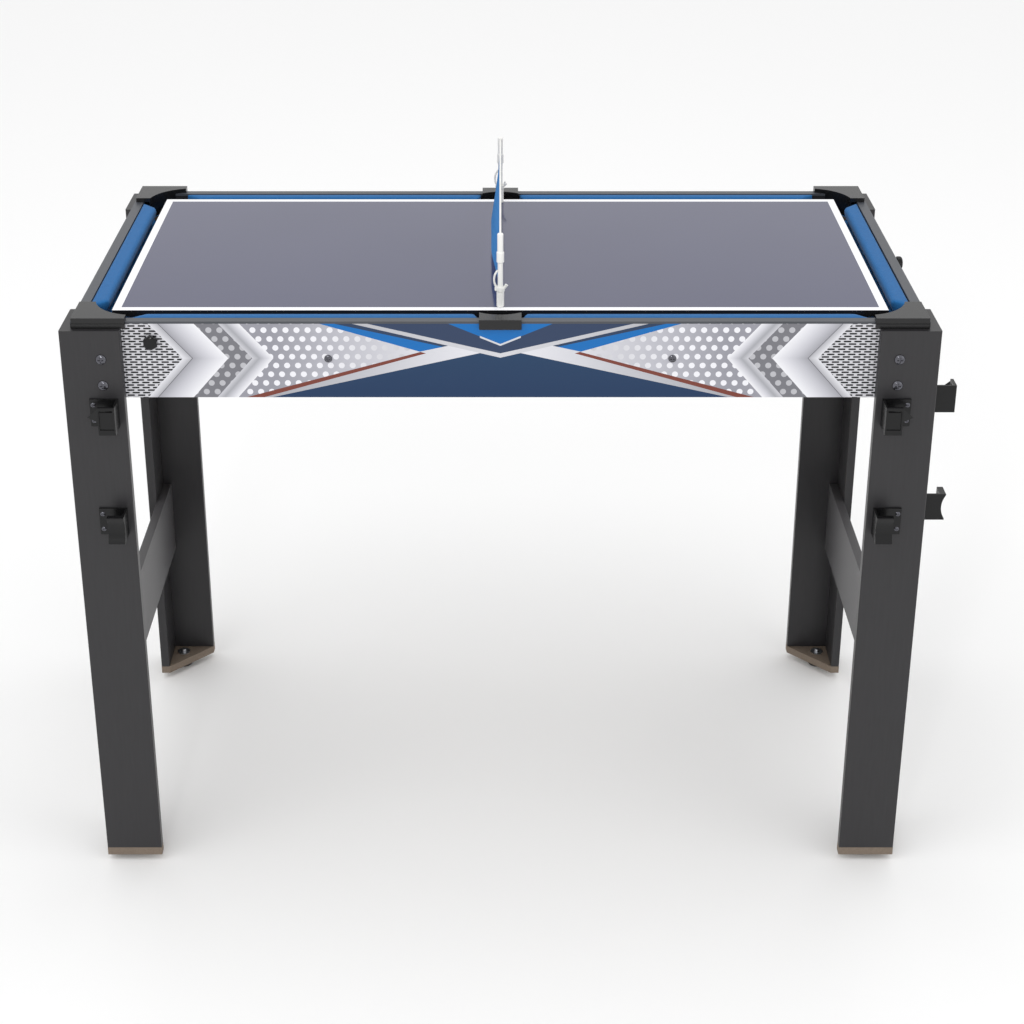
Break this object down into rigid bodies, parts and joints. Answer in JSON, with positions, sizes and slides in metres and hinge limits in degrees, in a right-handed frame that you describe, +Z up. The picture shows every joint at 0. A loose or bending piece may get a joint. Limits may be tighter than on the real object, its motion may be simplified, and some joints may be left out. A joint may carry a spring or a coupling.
{
  "type": "multi-game table set up for table tennis",
  "caption": "Small cushioned games-table cabinet on L-shaped legs, with a loose table tennis board, plug-in net, pocket caps, levelling feet and accessory clips.",
  "frame": {"origin": "on the floor, under the middle of the overall box, 13.7 mm to the right of and in front of the cabinet's own middle because of the clips", "axes": "+X along the table to its right-hand end, +Y to the back long side, +Z up"},
  "size_m": [1.1526, 0.5936, 0.923],
  "materials": {
    "bare_board": "raw MDF",
    "bed_cloth": "blue billiard cloth",
    "black_steel": "black oxide",
    "cap_plastic": "moulded black plastic, satin",
    "clip_plastic": "moulded black plastic",
    "cup_plastic": "moulded black plastic",
    "cushion_cloth": "blue billiard cloth over rubber",
    "foot_rubber": "black rubber pad on a zinc-plated stem",
    "knob_plastic": "black plastic",
    "leg_board": "charcoal foil over MDF, satin",
    "net_mesh": "blue knotted nylon mesh",
    "playing_surface": "glossy navy-grey lacquer with a white border line",
    "post_plastic": "white moulded plastic",
    "printed_board": "glossy printed foil over MDF, navy, bright blue and silver bands",
    "rail": "satin dark grey foil over MDF",
    "softwood": "planed softwood",
    "white_tape": "white woven cotton tape",
    "zinc_steel": "bright zinc plate"
  },
  "bodies": {
    "table": {"front_apron": "printed_board", "back_apron": "printed_board", "left_apron": "printed_board", "right_apron": "printed_board", "front_rail": "rail", "back_rail": "rail", "left_rail": "rail", "right_rail": "rail", "front_left_cushion": "cushion_cloth", "front_right_cushion": "cushion_cloth", "back_left_cushion": "cushion_cloth", "back_right_cushion": "cushion_cloth", "left_cushion": "cushion_cloth", "right_cushion": "cushion_cloth", "front_left_cap": "cap_plastic", "front_right_cap": "cap_plastic", "back_left_cap": "cap_plastic", "back_right_cap": "cap_plastic", "front_side_cap": "cap_plastic", "back_side_cap": "cap_plastic", "corner_pocket_cups": "cup_plastic", "side_pocket_cups": "cup_plastic", "bed": "bare_board", "bed_cloth": "bed_cloth", "bed_ledges": "softwood", "front_left_face_board": "leg_board", "front_right_face_board": "leg_board", "back_left_face_board": "leg_board", "back_right_face_board": "leg_board", "front_left_side_board": "leg_board", "front_right_side_board": "leg_board", "back_left_side_board": "leg_board", "back_right_side_board": "leg_board", "front_left_foot_plate": "bare_board", "front_right_foot_plate": "bare_board", "back_left_foot_plate": "bare_board", "back_right_foot_plate": "bare_board", "left_stretcher": "leg_board", "right_stretcher": "leg_board", "tee_nuts": "zinc_steel", "leg_bolts": "black_steel", "leg_washers": "zinc_steel", "leg_nuts": "zinc_steel", "apron_screws": "black_steel", "wood_screws": "black_steel", "clip_screws": "black_steel", "front_clips": "clip_plastic", "end_clips": "clip_plastic"},
    "playing_top": {"playing_board": "playing_surface", "board_blocks": "softwood"},
    "net_set": {"net_posts": "post_plastic", "net_mesh": "net_mesh", "net_tape": "white_tape", "net_ties": "white_tape"},
    "front_left_foot": {"front_left_foot": "foot_rubber"},
    "front_right_foot": {"front_right_foot": "foot_rubber"},
    "back_left_foot": {"back_left_foot": "foot_rubber"},
    "back_right_foot": {"back_right_foot": "foot_rubber"},
    "front_knob": {"front_knob": "knob_plastic"},
    "end_knob": {"end_knob": "knob_plastic"}
  },
  "joints": [
    {"name": "board_lift", "type": "slide", "parent": "table", "child": "playing_top", "axis": [0, 0, 1], "range_m": [0, 0.12]},
    {"name": "net_pull", "type": "slide", "parent": "playing_top", "child": "net_set", "axis": [0, 0, 1], "range_m": [0, 0.04]},
    {"name": "front_left_levelling", "type": "slide", "parent": "table", "child": "front_left_foot", "axis": [0, 0, 1], "range_m": [-0.01, 0]},
    {"name": "front_right_levelling", "type": "slide", "parent": "table", "child": "front_right_foot", "axis": [0, 0, 1], "range_m": [-0.01, 0]},
    {"name": "back_left_levelling", "type": "slide", "parent": "table", "child": "back_left_foot", "axis": [0, 0, 1], "range_m": [-0.01, 0]},
    {"name": "back_right_levelling", "type": "slide", "parent": "table", "child": "back_right_foot", "axis": [0, 0, 1], "range_m": [-0.01, 0]},
    {"name": "front_knob_turn", "type": "hinge", "parent": "table", "child": "front_knob", "pos_m": [-0.4587, -0.2528, 0.796], "axis": [0, 1, 0], "continuous": true},
    {"name": "end_knob_turn", "type": "hinge", "parent": "table", "child": "end_knob", "pos_m": [0.5323, -0.0103, 0.813], "axis": [1, 0, 0], "continuous": true}
  ]
}
